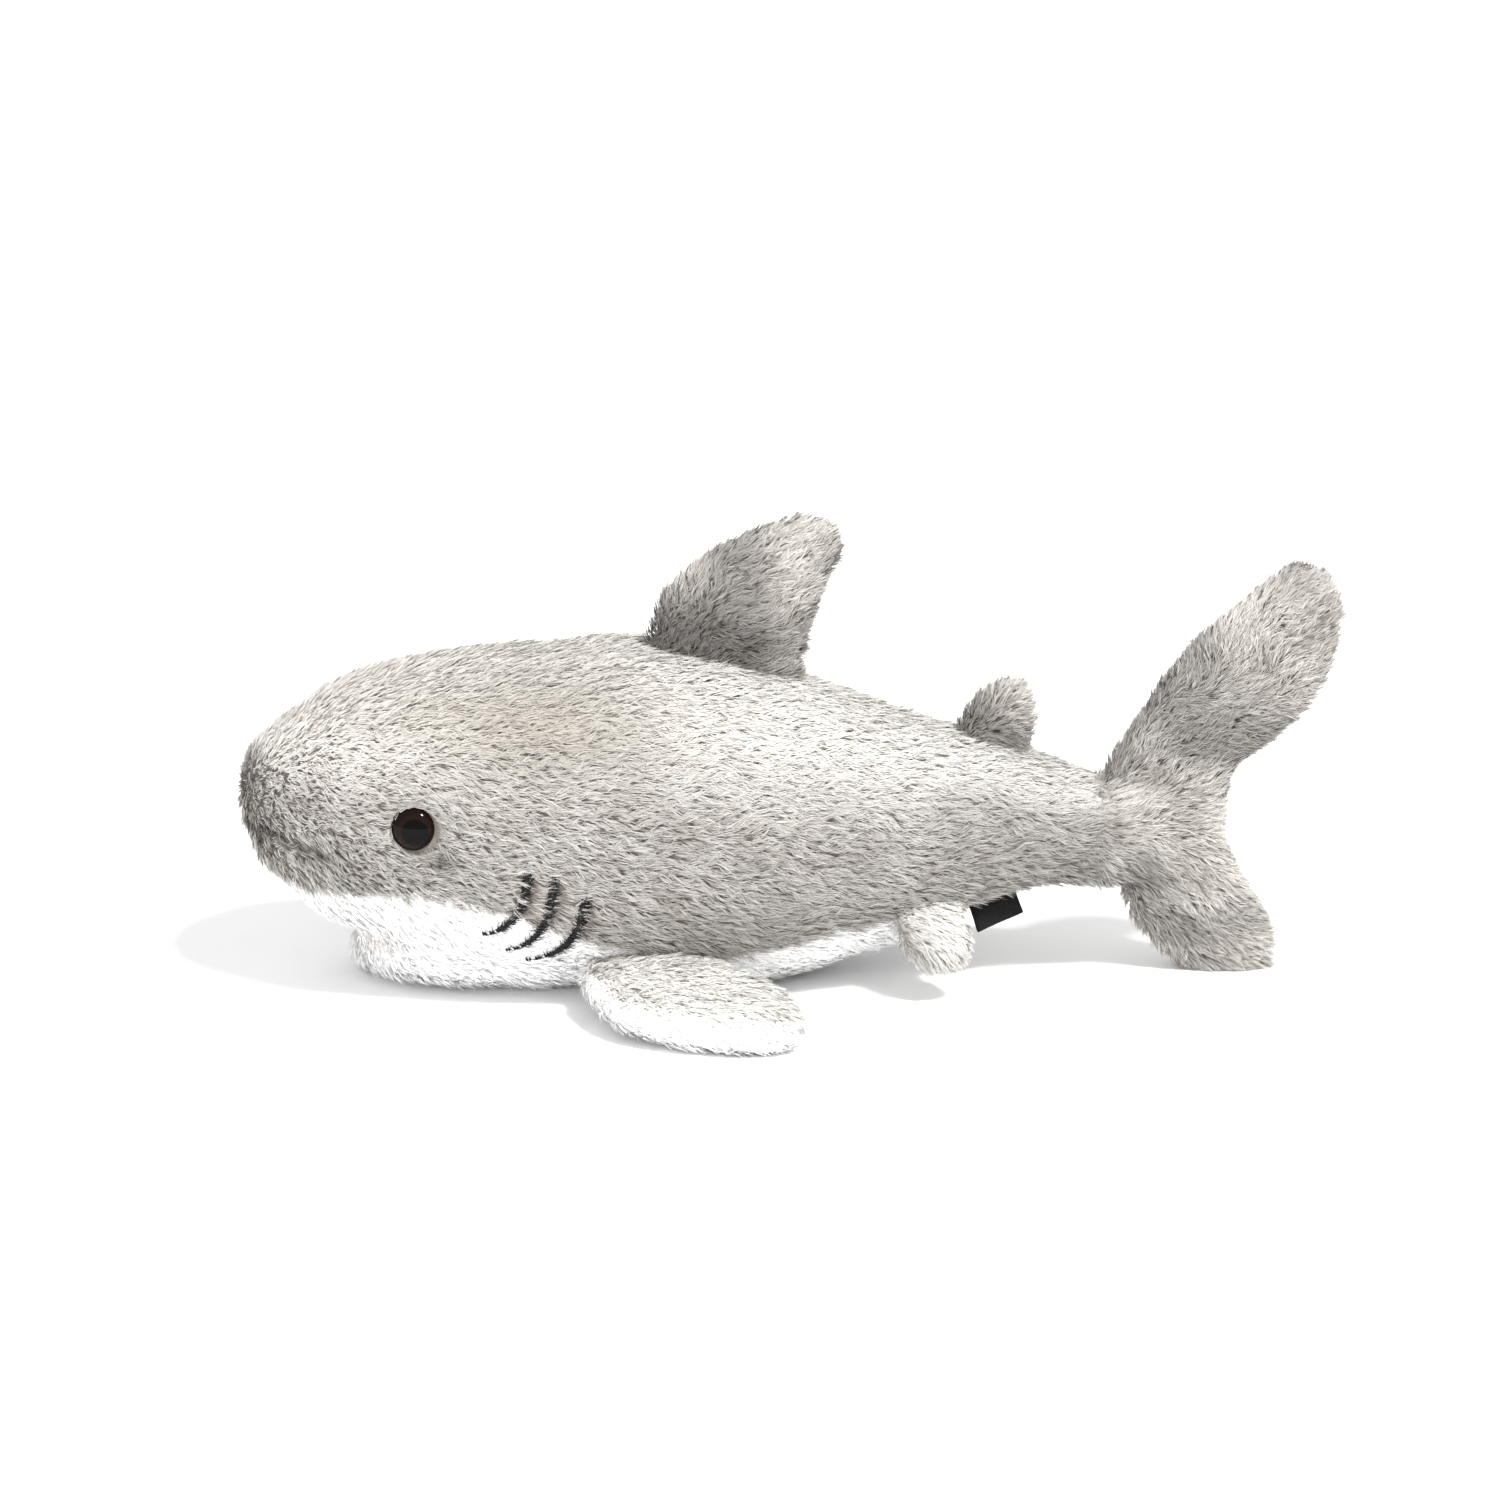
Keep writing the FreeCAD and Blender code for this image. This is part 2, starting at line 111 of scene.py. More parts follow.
def noise(points, cell, seed):
    """Smooth value noise from -1 to 1 with features about `cell` metres across."""
    scaled = points / cell
    base = np.floor(scaled).astype(np.int64)
    part = scaled - base
    part = part * part * (3 - 2 * part)
    total = np.zeros(len(points))
    for corner in np.ndindex(2, 2, 2):
        share = np.prod(np.where(np.array(corner) == 1, part, 1 - part), axis=1)
        total += share * lattice_value(base + corner, seed)
    return total * 2 - 1


def bell(distance, width):
    """1 at no distance, falling smoothly to 0 over about twice `width`."""
    return np.exp(-((distance / width) ** 2))


# ---------------------------------------------------------------- meshes as arrays
def mesh_arrays(mesh):
    """Points and triangles of a mesh."""
    points = np.empty(len(mesh.vertices) * 3)
    mesh.vertices.foreach_get("co", points)
    mesh.calc_loop_triangles()
    triangles = np.empty(len(mesh.loop_triangles) * 3, dtype=np.int32)
    mesh.loop_triangles.foreach_get("vertices", triangles)
    return points.reshape(-1, 3), triangles.reshape(-1, 3)


def node_arrays(name):
    return mesh_arrays(frame["nodes"][name].data)


def joined(parts):
    """Several (points, triangles) as one."""
    points, triangles, offset = [], [], 0
    for part_points, part_triangles in parts:
        points.append(part_points)
        triangles.append(part_triangles + offset)
        offset += len(part_points)
    return np.concatenate(points), np.concatenate(triangles)


def mesh_from(name, points, triangles):
    """Blender mesh from arrays, without slow lists."""
    mesh = bpy.data.meshes.new(name)
    mesh.vertices.add(len(points))
    mesh.vertices.foreach_set("co", np.asarray(points, dtype=np.float32).ravel())
    mesh.loops.add(triangles.size)
    mesh.loops.foreach_set("vertex_index", np.asarray(triangles, dtype=np.int32).ravel())
    mesh.polygons.add(len(triangles))
    mesh.polygons.foreach_set("loop_start", np.arange(0, triangles.size, 3, dtype=np.int32))
    mesh.update(calc_edges=True)
    return mesh


def linked(name, mesh):
    """New object in the scene."""
    made = bpy.data.objects.new(name, mesh)
    bpy.context.scene.collection.objects.link(made)
    return made


def face_vectors(points, triangles):
    """Twice-area normals of the triangles."""
    first, second, third = (points[triangles[:, corner]] for corner in range(3))
    return np.cross(second - first, third - first)


def point_normals(points, triangles):
    """Area-weighted normals at the points."""
    weighted = face_vectors(points, triangles)
    normals = np.zeros_like(points)
    for corner in range(3):
        np.add.at(normals, triangles[:, corner], weighted)
    return unit(normals)


def largest_island(points, triangles):
    """The connected surface with the most points, without its cavities' walls."""
    label = np.arange(len(points))
    edges = np.concatenate([triangles[:, (0, 1)], triangles[:, (1, 2)]])
    while True:
        lowest = np.minimum(label[edges[:, 0]], label[edges[:, 1]])
        changed = label.copy()
        np.minimum.at(changed, edges[:, 0], lowest)
        np.minimum.at(changed, edges[:, 1], lowest)
        changed = changed[changed]
        if np.array_equal(changed, label):
            break
        label = changed
    winner = np.bincount(label).argmax()
    return cut_out(points, triangles, label[triangles[:, 0]] == winner)


def cut_out(points, triangles, chosen):
    """Only the chosen triangles, with the points they use."""
    kept = triangles[chosen]
    used = np.unique(kept)
    place = np.zeros(len(points), dtype=np.int32)
    place[used] = np.arange(len(used))
    return points[used], place[kept]


def hull(points):
    """Convex hull around points."""
    work = bmesh.new()
    for point in points:
        work.verts.new(point)
    bmesh.ops.convex_hull(work, input=work.verts)
    loose = [vert for vert in work.verts if not vert.link_faces]
    bmesh.ops.delete(work, geom=loose, context="VERTS")
    bmesh.ops.triangulate(work, faces=work.faces)
    mesh = bpy.data.meshes.new("hull")
    work.to_mesh(mesh)
    work.free()
    arrays = mesh_arrays(mesh)
    bpy.data.meshes.remove(mesh)
    return arrays


def soft_form(parts, voxel, smoothing):
    """One closed smooth skin around several overlapping closed pieces."""
    source = linked("form", mesh_from("form", *joined(parts)))
    remesh = source.modifiers.new("remesh", "REMESH")
    remesh.mode = "VOXEL"
    remesh.voxel_size = voxel
    smooth = source.modifiers.new("smooth", "SMOOTH")
    smooth.factor = 0.5
    smooth.iterations = smoothing
    graph = bpy.context.evaluated_depsgraph_get()
    result = bpy.data.meshes.new_from_object(source.evaluated_get(graph))
    arrays = mesh_arrays(result)
    bpy.data.objects.remove(source)
    bpy.data.meshes.remove(result)
    return largest_island(*arrays)


# ---------------------------------------------------------------- panels
def tree_of(node):
    points, triangles = node_arrays(node)
    return BVHTree.FromPolygons(points.tolist(), triangles.tolist())


def distances(points, tree):
    """Distance of each point to a surface."""
    return np.array([tree.find_nearest(point)[3] for point in points.tolist()])


def panels(form, nodes, roll=None):
    """The form's skin shared out to the CAD panels it lies nearest to.

    `roll` is a direction and a distance: on skin that faces that way, the last panel
    reaches that far past its CAD edge."""
    points, triangles = form
    middles = points[triangles].mean(axis=1)
    gaps = np.stack([distances(middles, tree_of(node)) for node in nodes])
    if roll is not None:
        direction, reach = roll
        facing = unit(face_vectors(points, triangles)) @ direction
        gaps[-1] -= reach * np.clip(facing * 2, 0, 1)
    owner = gaps.argmin(axis=0)
    return {node: cut_out(points, triangles, owner == index)
            for index, node in enumerate(nodes)}


def backed(points, triangles, normals, thickness):
    """A panel closed with its inner side and rim, so that it is a sheet of cloth."""
    edges = np.concatenate([triangles[:, (0, 1)], triangles[:, (1, 2)], triangles[:, (2, 0)]])
    key = np.sort(edges, axis=1)
    _, first, count = np.unique(key, axis=0, return_index=True, return_counts=True)
    rim = edges[first[count == 1]]
    inner = len(points)
    rim_faces = np.concatenate([
        np.stack([rim[:, 1], rim[:, 0], rim[:, 0] + inner], axis=1),
        np.stack([rim[:, 1], rim[:, 0] + inner, rim[:, 1] + inner], axis=1),
    ])
    faces = np.concatenate([triangles, triangles[:, ::-1] + inner, rim_faces])
    return (np.concatenate([points, points - normals * thickness]), faces,
            np.concatenate([normals, -normals]))


# ---------------------------------------------------------------- pile
class Pile:
    """How one kind of cloth's pile grows. Lengths in metres, lifts in degrees.

    The sleek setting is how much flatter it lies where it faces upwards and how much paler it is
    painted there, a painted top light; `variety` how much its strands differ in tone."""

    def __init__(self, length, width, density, lifts, swirl, sleek_and_top_light, variety, root, tip):
        self.length = length
        self.width = width
        self.density = density
        self.root_lift, self.tip_lift = (math.radians(lift) for lift in lifts)
        self.swirl = swirl
        self.sleek_and_top_light = sleek_and_top_light
        self.variety = variety
        self.root = np.array(root)
        self.tip = np.array(tip)


GREY = Pile(7.0 * MM, 0.30 * MM, 3.1, (46, 15), 0.35, 1.0, 0.09, (0.21, 0.185, 0.16),
            (0.60, 0.58, 0.553))
GREY_FIN = Pile(7.2 * MM, 0.30 * MM, 4.8, (54, 20), 0.6, 0.4, 0.16, (0.14, 0.115, 0.09),
                (0.75, 0.72, 0.68))
PALE = Pile(6.5 * MM, 0.30 * MM, 4.0, (44, 14), 0.4, 1.0, 0.06, (0.36, 0.335, 0.305),
            (0.70, 0.68, 0.65))
WHITE = Pile(5.2 * MM, 0.34 * MM, 3.0, (36, 10), 0.5, 0.0, 0.03, (0.96, 0.955, 0.945),
             (0.99, 0.99, 0.99))
STRANDS_PER_TUFT = 5
STRAND_LIMIT = 90_000        # most strands in one piece; keeps one piece under the export's number of triangles
ROLL = 0.5                   # how far strands turn about their own length, radians
ROUND_SHADING = 0.72         # share of the skin's own direction in a strand's shading
ROOT_DEPTH = 0.3 * MM        # how far a strand's root sits in the cloth
CLOTH_SHADE = 0.9            # the cloth's colour, as a share of the strands' root colour


def scattered(points, triangles, density, rng):
    """Evenly spread places on the triangles: place, normal."""
    normals = point_normals(points, triangles)
    areas = np.linalg.norm(face_vectors(points, triangles), axis=1) / 2
    count = min(int(areas.sum() / MM ** 2 * density), STRAND_LIMIT)
    count = max(int(count * THINNING), STRANDS_PER_TUFT * 2)
    marks = (np.arange(count) + rng.random(count)) / count * areas.sum()
    chosen = np.minimum(np.searchsorted(np.cumsum(areas), marks), len(triangles) - 1)
    first, second = np.sqrt(rng.random(count)), rng.random(count)
    shares = np.stack([1 - first, first * (1 - second), first * second], axis=1)
    corners = triangles[chosen]
    place = (points[corners] * shares[:, :, None]).sum(axis=1)
    normal = unit((normals[corners] * shares[:, :, None]).sum(axis=1))
    return place, normal


def tufts(place, rng):
    """For each strand, the strand at the heart of its tuft."""
    count = max(len(place) // STRANDS_PER_TUFT, 1)
    hearts = rng.choice(len(place), count, replace=False)
    tree = KDTree(count)
    for index, heart in enumerate(hearts):
        tree.insert(place[heart], index)
    tree.balance()
    nearest = np.array([tree.find(point)[1] for point in place.tolist()])
    return hearts[nearest]


def turned(direction, side, angle):
    return direction * column(np.cos(angle)) + side * column(np.sin(angle))


def strand_lines(place, normal, pile, source, rng):
    """Middle and tip of each strand, lying away from `source` in loose tufts."""
    heart = tufts(place, rng)
    count = len(place)
    away = place - np.array(source)
    flow = unit(away - normal * column((away * normal).sum(axis=1)))
    side = np.cross(normal, flow)
    swirl = noise(place, 16 * MM, 3) * pile.swirl + noise(place, 6 * MM, 4) * pile.swirl * 0.7
    tuft_turn = rng.normal(0, 0.30, count)[heart]
    tuft_lift = rng.normal(0, 0.16, count)[heart]
    ruffle = 1 + 0.35 * noise(place, 11 * MM, 5) + 0.25 * noise(place, 40 * MM, 7)
    smooth = sleek_and_top_light_share(normal, pile)
    ruffle = ruffle * (1 - 0.5 * smooth)
    swirl = swirl * (1 - 0.6 * smooth)
    flow = turned(flow, side, swirl + tuft_turn + rng.normal(0, 0.16, count))
    length = pile.length * rng.uniform(0.72, 1.12, count) * (1 + 0.15 * noise(place, 5 * MM, 6))
    root_lift = np.clip((pile.root_lift + tuft_lift) * ruffle, 0.2, 1.3)
    tip_lift = pile.tip_lift * ruffle + tuft_lift * 0.8
    middle = place + turned(flow, normal, root_lift) * column(length * 0.45)
    tip = middle + turned(flow, normal, tip_lift) * column(length * 0.55)
    gather = rng.uniform(0.1, 0.6, count)
    tip = tip + (tip[heart] - tip) * column(gather)
    middle = middle + (middle[heart] - middle) * column(gather * 0.35)
    return middle, tip


def sleek_and_top_light_share(normal, pile):
    """From 0 on the flanks to the pile's own value where the cloth faces upwards; it lays the pile
    flatter there and carries the painted top light in its colour.
    """
    return np.clip((normal[:, 2] - 0.15) / 0.5, 0, 1) * pile.sleek_and_top_light


def strand_faces(count):
    """Two triangles for each strand's four points."""
    start = column(np.arange(count) * 4)
    pair = np.array([[0, 1, 2], [1, 3, 2]])
    return (start[:, None] + pair[None]).reshape(-1, 3)


def strand_mesh(place, normal, middle, tip, pile, rng):
    """Flat tapering strands: root, two middle edges and tip, and each point's shading normal."""
    along = unit(tip - place)
    roll = rng.normal(0, ROLL, len(place))
    across = turned(unit(np.cross(normal, along)), normal, roll)
    half = column(pile.width * rng.uniform(0.35, 0.65, len(place)))
    root = place - normal * ROOT_DEPTH
    points = np.stack([root, middle - across * half, middle + across * half, tip], axis=1)
    facing = unit(np.cross(along, across))
    shading = unit(normal * ROUND_SHADING + facing * (1 - ROUND_SHADING))
    return points.reshape(-1, 3), np.repeat(shading, 4, axis=0)


def strand_colours(place, normal, pile, rng, stain_and_shade):
    """Colour at each strand's four points: dark foot, frosted tip, and a painted top light where
    the cloth faces upwards.
    """
    count = len(place)
    smooth = sleek_and_top_light_share(normal, pile)
    # Painted top light: the foot is paler where the cloth faces upwards.
    foot = pile.root + (pile.tip - pile.root) * column(0.88 * smooth)
    ageing = 0.5 + 0.5 * noise(place, 18 * MM, 8)
    frost = np.clip(rng.normal(0.85, 0.3, count) + 0.2 * noise(place, 9 * MM, 9), 0.1, 1.4)
    steps = np.array([0.0, 0.5, 0.5, 1.0])
    blend = column(frost) * steps[None]
    colour = foot[:, None] + (pile.tip - foot)[:, None] * blend[:, :, None]
    uneven = 1 - pile.variety * (1 - 0.7 * smooth) * (ageing + rng.uniform(-1, 1, count))
    # Painted top light: strands a little brighter where the cloth faces upwards.
    uneven = uneven * (1 + 0.1 * smooth)
    colour = colour * uneven[:, None, None]
    # Stains, and painted shade in folds, round the eyes and at fin seams.
    if stain_and_shade is not None:
        colour = stain_and_shade(place, colour)
    return np.clip(colour, 0, 1).reshape(-1, 3)


def above_floor(points):
    points[:, 2] = np.maximum(points[:, 2], FLOOR_CLEARANCE)
    return points


UV_SKIN_SHARE = 0.25     # part of the map's width that the cloth under the pile has


def baking_map(mesh, skin_points, triangles, strand_count):
    """UV map: the cloth laid flat at one side, each strand in its own small cell."""
    spread = np.ptp(skin_points, axis=0)
    wide, high = np.argsort(spread)[::-1][:2]
    low = skin_points.min(axis=0)
    flat = (skin_points[:, (wide, high)] - low[[wide, high]]) / spread[[wide, high]]
    flat[:, 0] *= UV_SKIN_SHARE * 0.98
    rows = int(math.ceil(math.sqrt(strand_count / (1 - UV_SKIN_SHARE))))
    columns = int(math.ceil(strand_count / rows))
    order = np.arange(strand_count)
    corner = np.stack([order // rows, order % rows], axis=1)
    cell = np.array([(1 - UV_SKIN_SHARE) / columns, 1 / rows])
    shape = np.array([[0.5, 0.05], [0.1, 0.5], [0.9, 0.5], [0.5, 0.95]])
    strands = (corner[:, None] + shape[None]) * cell + np.array([UV_SKIN_SHARE, 0])
    per_point = np.concatenate([flat, strands.reshape(-1, 2)])
    layer = mesh.uv_layers.new(name="OFBake")
    layer.data.foreach_set("uv", per_point[triangles.ravel()].astype(np.float32).ravel())


def pile_piece(name, patch, pile, source, seed, comb=None, stain_and_shade=None):
    """One panel: its cloth and its pile in a single mesh."""
    rng = np.random.default_rng(seed)
    skin_points, skin_triangles = patch
    normals = point_normals(skin_points, skin_triangles)
    skin_points, skin_faces, skin_normals = backed(skin_points, skin_triangles, normals,
                                                   SKIN_THICKNESS)
    place, normal = scattered(*patch, pile.density, rng)
    if comb is not None:
        keep = comb.keeps(place)
        place, normal = place[keep], normal[keep]
    middle, tip = strand_lines(place, normal, pile, source, rng)
    if comb is not None:
        middle, tip = comb.parted(place, normal, middle, tip)
    points, shading = strand_mesh(place, normal, middle, tip, pile, rng)
    colours = strand_colours(place, normal, pile, rng, stain_and_shade)
    faces = np.concatenate([skin_faces, strand_faces(len(place)) + len(skin_points)])
    all_points = above_floor(np.concatenate([skin_points, points]))
    mesh = mesh_from(name, all_points, faces)
    cloth_colour = np.tile(pile.root * CLOTH_SHADE, (len(skin_points), 1))
    paint(mesh, np.concatenate([cloth_colour, colours]))
    baking_map(mesh, skin_points, faces, len(place))
    mesh.polygons.foreach_set("use_smooth", np.ones(len(faces), dtype=bool))
    mesh.normals_split_custom_set_from_vertices(np.concatenate([skin_normals, shading]).tolist())
    return linked(name, mesh)


def paint(mesh, colours):
    """Stores the colour of each point for the material to read."""
    layer = mesh.color_attributes.new("pile_colour", "FLOAT_COLOR", "POINT")
    rgba = np.ones((len(colours), 4), dtype=np.float32)
    rgba[:, :3] = colours
    layer.data.foreach_set("color", rgba.ravel())


# ---------------------------------------------------------------- materials
def new_material(name):
    material = bpy.data.materials.new(name)
    material.use_nodes = True
    return material, material.node_tree.nodes, material.node_tree.links


def pile_material(name, sheen, mottling):
    """Soft strands: painted colour with a fine mottle, no gloss, a little sheen."""
    material, nodes, links = new_material(name)
    shader = nodes["Principled BSDF"]
    colour = nodes.new("ShaderNodeAttribute")
    colour.attribute_name = "pile_colour"
    mottle = nodes.new("ShaderNodeTexNoise")
    mottle.inputs["Scale"].default_value = 900
    where = nodes.new("ShaderNodeNewGeometry")
    links.new(where.outputs["Position"], mottle.inputs["Vector"])
    level = nodes.new("ShaderNodeMapRange")
    level.inputs["To Min"].default_value = 1 - mottling
    level.inputs["To Max"].default_value = 1 + mottling
    links.new(mottle.outputs["Fac"], level.inputs["Value"])
    mix = nodes.new("ShaderNodeVectorMath")
    mix.operation = "SCALE"
    links.new(colour.outputs["Color"], mix.inputs[0])
    links.new(level.outputs["Result"], mix.inputs["Scale"])
    links.new(mix.outputs["Vector"], shader.inputs["Base Color"])
    shader.inputs["Roughness"].default_value = 0.7
    shader.inputs["Specular IOR Level"].default_value = 0.35
    shader.inputs["Sheen Weight"].default_value = sheen
    shader.inputs["Sheen Roughness"].default_value = 0.5
    return material


def flecked_material(name, dark, light, scale, roughness, bump):
    """Two close tones in a fine pattern with a matching bump."""
    material, nodes, links = new_material(name)
    shader = nodes["Principled BSDF"]
    where = nodes.new("ShaderNodeNewGeometry")
    pattern = nodes.new("ShaderNodeTexNoise")
    pattern.inputs["Scale"].default_value = scale
    pattern.inputs["Detail"].default_value = 4
    ramp = nodes.new("ShaderNodeValToRGB")
    ramp.color_ramp.elements[0].color = (*dark, 1)
    ramp.color_ramp.elements[1].color = (*light, 1)
    ramp.color_ramp.elements[0].position = 0.35
    ramp.color_ramp.elements[1].position = 0.65
    relief = nodes.new("ShaderNodeBump")
    relief.inputs["Strength"].default_value = bump
    relief.inputs["Distance"].default_value = 0.2 * MM
    links.new(where.outputs["Position"], pattern.inputs["Vector"])
    links.new(pattern.outputs["Fac"], ramp.inputs["Fac"])
    links.new(pattern.outputs["Fac"], relief.inputs["Height"])
    links.new(ramp.outputs["Color"], shader.inputs["Base Color"])
    links.new(relief.outputs["Normal"], shader.inputs["Normal"])
    shader.inputs["Roughness"].default_value = roughness
    shader.inputs["Specular IOR Level"].default_value = 0.25
    return material


def eye_material(middle):
    """Polished eye: black pupil, dark brown ring, black rim, by distance from the eye's middle."""
    material, nodes, links = new_material("eye_gloss")
    shader = nodes["Principled BSDF"]
    where = nodes.new("ShaderNodeNewGeometry")
    distance = nodes.new("ShaderNodeVectorMath")
    distance.operation = "DISTANCE"
    distance.inputs[1].default_value = middle
    links.new(where.outputs["Position"], distance.inputs[0])
    ramp = nodes.new("ShaderNodeValToRGB")
    level = nodes.new("ShaderNodeMapRange")
    level.inputs["From Max"].default_value = EYE_RADIUS
    links.new(distance.outputs["Value"], level.inputs["Value"])
    links.new(level.outputs["Result"], ramp.inputs["Fac"])
    ramp.color_ramp.elements[0].position = 0.74
    ramp.color_ramp.elements[0].color = (0.0015, 0.0015, 0.0015, 1)
    ramp.color_ramp.elements[1].position = 0.80
    ramp.color_ramp.elements[1].color = (0.011, 0.0045, 0.003, 1)
    rim = ramp.color_ramp.elements.new(0.96)
    rim.color = (0.004, 0.002, 0.0015, 1)
    links.new(ramp.outputs["Color"], shader.inputs["Base Color"])
    shader.inputs["Roughness"].default_value = 0.06
    shader.inputs["Specular IOR Level"].default_value = 0.11
    return material


# ---------------------------------------------------------------- torso
TORSO_PANELS = {
    "back_panel_left": GREY, "back_panel_right": GREY, "belly_panel": WHITE,
    "chin_panel": WHITE, "snout_panel": WHITE,
}
EYE_RADIUS = (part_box("eye_left")[1].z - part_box("eye_left")[0].z) / 2
EYE_DOME = 4.6 * MM          # how far the eye stands out from its seat
NOSE = np.array([LOW[0], 0, EYE[2] + 3 * MM])


def eye_seat(side):
    """Where the eye's back sits on the skin, and its outward direction."""
    points, _ = node_arrays("eye_" + side)
    washer = centre("eye_washer_" + side)
    sign = -1 if side == "left" else 1
    outermost = points[(points[:, 1] * sign).argmax()]
    outward = outermost - washer
    outward = outward / np.linalg.norm(outward)
    reach = (points - washer) @ outward
    return washer + outward * (reach.max() - EYE_DOME), outward


EYE_SEATS = {side: eye_seat(side) for side in ("left", "right")}


def snout_crease(points):
    """0 to 1 near the fold that runs back along each side of the snout."""
    start = np.array([LOW[0], EYE[2] - 5 * MM])
    end = np.array([EYE[0] - 20 * MM, EYE[2] - 14 * MM])
    along = end - start
    flat = points[:, (0, 2)] - start
    part = np.clip(flat @ along / (along @ along), 0, 1)
    gap = np.linalg.norm(flat - part[:, None] * along, axis=1)
    return bell(gap, 2.3 * MM) * np.clip(part * 6, 0, 1) * np.clip((1 - part) * 3, 0, 1)


def torso_form():
    """The torso's skin with its folds, seams and sewn-in eyes."""
    nodes = list(TORSO_PANELS) + ["body_stuffing"]
    points, triangles = soft_form([node_arrays(node) for node in nodes], 2.8 * MM, 6)
    normals = point_normals(points, triangles)
    grey = np.minimum(distances(points, tree_of("back_panel_left")),
                      distances(points, tree_of("back_panel_right")))
    white = np.min([distances(points, tree_of(node)) for node in TORSO_PANELS
                    if TORSO_PANELS[node] is WHITE], axis=0)
    dent = 1.1 * MM * bell(grey - white, 2.2 * MM)
    dent += 1.8 * MM * snout_crease(points)
    dent += 2.0 * MM * mouth_nearness(points, 2.2 * MM)
    for place, _ in EYE_SEATS.values():
        dent += 1.5 * MM * bell(np.linalg.norm(points - place, axis=1), 9 * MM)
    swell = 1.2 * MM * noise(points, 30 * MM, 1) + 0.4 * MM * noise(points, 12 * MM, 2)
    return above_floor(points + normals * column(swell - dent)), triangles


class TorsoComb:
    """Parts the pile round the eyes and presses it down at the gill stitches."""

    def __init__(self):
        self.stitches = [tree_of("gill_stitches_left"), tree_of("gill_stitches_right")]

    def stitch_gap(self, place):
        return np.minimum(*(distances(place, tree) for tree in self.stitches))

    def keeps(self, place):
        free = np.ones(len(place), dtype=bool)
        for seat, _ in EYE_SEATS.values():
            free &= np.linalg.norm(place - seat, axis=1) > EYE_RADIUS * 0.8
        return free & (self.stitch_gap(place) > 0.5 * MM)

    def parted(self, place, normal, middle, tip):
        press = 0.75 * bell(self.stitch_gap(tip), 4 * MM)
        for seat, outward in EYE_SEATS.values():
            press = np.maximum(press, 0.6 * bell(np.linalg.norm(place - seat, axis=1), 10 * MM))
            middle = pushed_out(middle, seat, outward, EYE_RADIUS + 0.6 * MM)
            tip = pushed_out(tip, seat, outward, EYE_RADIUS + 1.2 * MM)
        rise = column(press * ((middle - place) * normal).sum(axis=1))
        middle = middle - normal * rise
        rise = column(press * ((tip - place) * normal).sum(axis=1))
        tip = tip - normal * rise
        return middle, tip


def pushed_out(points, seat, outward, radius):
    """Moves points inside a disc about an axis to its edge."""
    offset = points - seat
    height = offset @ outward
    flat = offset - height[:, None] * outward
    gap = np.linalg.norm(flat, axis=1)
    near = (gap < radius) & (np.abs(height) < 15 * MM)
    scale = np.where(near, radius / np.maximum(gap, 1e-6), 1.0)
    return seat + height[:, None] * outward + flat * scale[:, None]


def mouth_nearness(points, width):
    """1 at the slit of the mouth, 0 away from it."""
    return bell(distances(points, tree_of("mouth_lining")), width)


# Middle and half-widths of the brown patch, seen from the side, so it is on both sides.
BROWN_PATCH = EYE_SEATS["left"][0] + np.array([38, 0, 32]) * MM
BROWN_SPREAD = np.array([50, 17]) * MM


def torso_stain_and_shade(place, colour):
    """Painted shade in the folds along the snout, in the dent round each eye and in a small tuck
    below and behind it; darker towards the tail, paler at the nose.

    A brown patch lies above and behind each eye, and the mouth's slit is slightly pink."""
    # Painted shade in the fold along each side of the snout.
    shade = 1 - 0.72 * snout_crease(place)
    for seat, _ in EYE_SEATS.values():
        # Painted shade in the dent round the eye.
        shade = shade * (1 - 0.18 * bell(np.linalg.norm(place - seat, axis=1), 10 * MM))
        # Painted shade of a small tuck below and behind the eye.
        tuck_shade = seat + np.array([7.5, 0, -9.5]) * MM
        aside = np.linalg.norm((place - tuck_shade)[:, (0, 2)], axis=1)
        shade = shade * (1 - 0.4 * bell(aside, 2.6 * MM))
    shade = shade * (1.03 - 0.15 * np.clip(place[:, 0] / (HIGH[0] / 2), 0, 1))
    shade = shade * (1 + 0.26 * bell(np.linalg.norm(place - NOSE, axis=1), 80 * MM))
    patch = (place - BROWN_PATCH)[:, (0, 2)] / BROWN_SPREAD
    worn = 0.10 * np.clip(noise(place, 34 * MM, 12), 0, 1)
    worn = worn + 0.42 * bell(np.linalg.norm(patch, axis=1), 1)
    lip = column(mouth_nearness(place, 2.0 * MM))
    tint = 1 - lip * np.array([0.12, 0.24, 0.26])
    tint = tint * (1 - column(worn) * np.array([0.92, 0.98, 1.07]))
    return colour * (column(shade) * tint)[:, None, :]


def make_torso(materials):
    comb = TorsoComb()
    form = torso_form()
    source = NOSE - np.array([26 * MM, 0, 0])
    for seed, (node, patch) in enumerate(panels(form, list(TORSO_PANELS)).items()):
        pile = TORSO_PANELS[node]
        piece = pile_piece(node + "_pile", patch, pile, source, seed, comb, torso_stain_and_shade)
        finish(piece, materials, pile, node)
        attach(piece, "torso")


def finish(piece, materials, pile, node):
    """Material, slot and replaced node of one pile panel."""
    piece.data.materials.append(materials["white" if pile is WHITE else "grey"])
    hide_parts(node)


# ---------------------------------------------------------------- fins
def joint_of(body):
    return next(joint for joint in frame["joints"] if joint["child"] == body)


def root_sleeve(nodes, body, depth):
    """Closed stretch of cloth that carries a fin's root into the torso."""
    joint = joint_of(body)
    hinge, axis = np.array(joint["pos_m"]), np.array(joint["axis"])
    points = np.concatenate([node_arrays(node)[0] for node in nodes])
    offset = points - hinge
    reach = np.linalg.norm(offset - column(offset @ axis) * axis, axis=1)
    root = points[reach < 6 * MM]
    inwards = hinge - centre(body + "_stuffing")
    inwards = inwards - axis * (inwards @ axis)
    inwards = inwards / np.linalg.norm(inwards)
    return hull(np.concatenate([root, root + inwards * depth])[::3].tolist())


